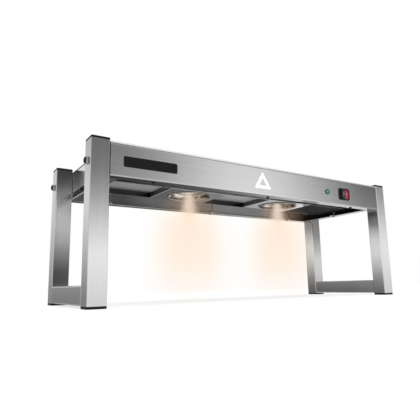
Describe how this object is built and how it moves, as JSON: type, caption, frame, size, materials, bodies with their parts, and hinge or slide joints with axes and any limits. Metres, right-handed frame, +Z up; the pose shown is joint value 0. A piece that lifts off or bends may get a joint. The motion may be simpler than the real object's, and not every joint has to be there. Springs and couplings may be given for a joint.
{
  "type": "heat lamp warmer",
  "caption": "Free-standing brushed-steel food warmer: square-tube side frames carry a shallow hood with round downward heat lamps, a rocker switch and a pilot light.",
  "frame": {"origin": "on the resting surface, under the middle of the warmer", "axes": "+X along the hood to the right seen from the front, -Y towards the front with the switch, +Z up"},
  "size_m": [0.9146, 0.3146, 0.325],
  "materials": {
    "brushed_steel": "long-grain brushed stainless, semi-bright",
    "plain_steel": "plain zinc-bright steel",
    "black_plastic": "moulded black, fine texture",
    "black_fastener": "blackened screw steel, satin",
    "black_sheet": "black heat-proof paint, satin",
    "reflector": "spun and polished",
    "lamp_quartz": "clear quartz, lit",
    "ceramic": "off-white glazed ceramic",
    "rocker_plastic": "glossy red half and black half",
    "pilot_bezel": "glossy dark green",
    "pilot_lens": "translucent green",
    "wire_sleeve": "woven heat-proof sleeve"
  },
  "bodies": {
    "warmer": {"left_front_post": "brushed_steel", "left_front_end_cap": "black_plastic", "left_front_foot": "black_plastic", "left_front_frame_bolt": "black_fastener", "left_front_nut": "plain_steel", "left_rear_post": "brushed_steel", "left_rear_end_cap": "black_plastic", "left_rear_foot": "black_plastic", "left_rear_frame_bolt": "black_fastener", "left_rear_nut": "plain_steel", "left_stretcher": "brushed_steel", "right_front_post": "brushed_steel", "right_front_end_cap": "black_plastic", "right_front_foot": "black_plastic", "right_front_frame_bolt": "black_fastener", "right_front_nut": "plain_steel", "right_rear_post": "brushed_steel", "right_rear_end_cap": "black_plastic", "right_rear_foot": "black_plastic", "right_rear_frame_bolt": "black_fastener", "right_rear_nut": "plain_steel", "right_stretcher": "brushed_steel", "hood_front_panel": "brushed_steel", "hood_rear_panel": "brushed_steel", "hood_left_end_panel": "brushed_steel", "hood_right_end_panel": "brushed_steel", "hood_top_cover": "brushed_steel", "tray_front_rail": "brushed_steel", "tray_rear_rail": "brushed_steel", "left_blank_panel": "brushed_steel", "centre_blank_panel": "brushed_steel", "control_bay_cover": "black_sheet", "left_lamp_plate": "brushed_steel", "left_reflector": "reflector", "left_lamp_tube": "lamp_quartz", "left_lampholder_inner": "ceramic", "left_lampholder_outer": "ceramic", "right_lamp_plate": "brushed_steel", "right_reflector": "reflector", "right_lamp_tube": "lamp_quartz", "right_lampholder_inner": "ceramic", "right_lampholder_outer": "ceramic", "power_switch_body": "black_plastic", "pilot_light_bezel": "pilot_bezel", "pilot_light_lens": "pilot_lens", "cable_inlet_bush": "black_plastic", "terminal_block": "ceramic", "lamp_wiring": "wire_sleeve", "supply_wiring": "wire_sleeve", "control_wiring": "wire_sleeve", "front_lip_screw_1": "black_fastener", "front_lip_screw_2": "black_fastener", "front_lip_screw_3": "black_fastener", "rear_lip_screw_1": "black_fastener", "rear_lip_screw_2": "black_fastener", "rear_lip_screw_3": "black_fastener", "left_lip_screw": "black_fastener", "right_lip_screw": "black_fastener"},
    "rocker": {"power_switch_rocker": "rocker_plastic"}
  },
  "joints": [
    {"name": "power_switch_tip", "type": "hinge", "parent": "warmer", "child": "rocker", "pos_m": [0.265, -0.146, 0.28], "axis": [0, 0, 1], "range_deg": [-20, 0]}
  ]
}
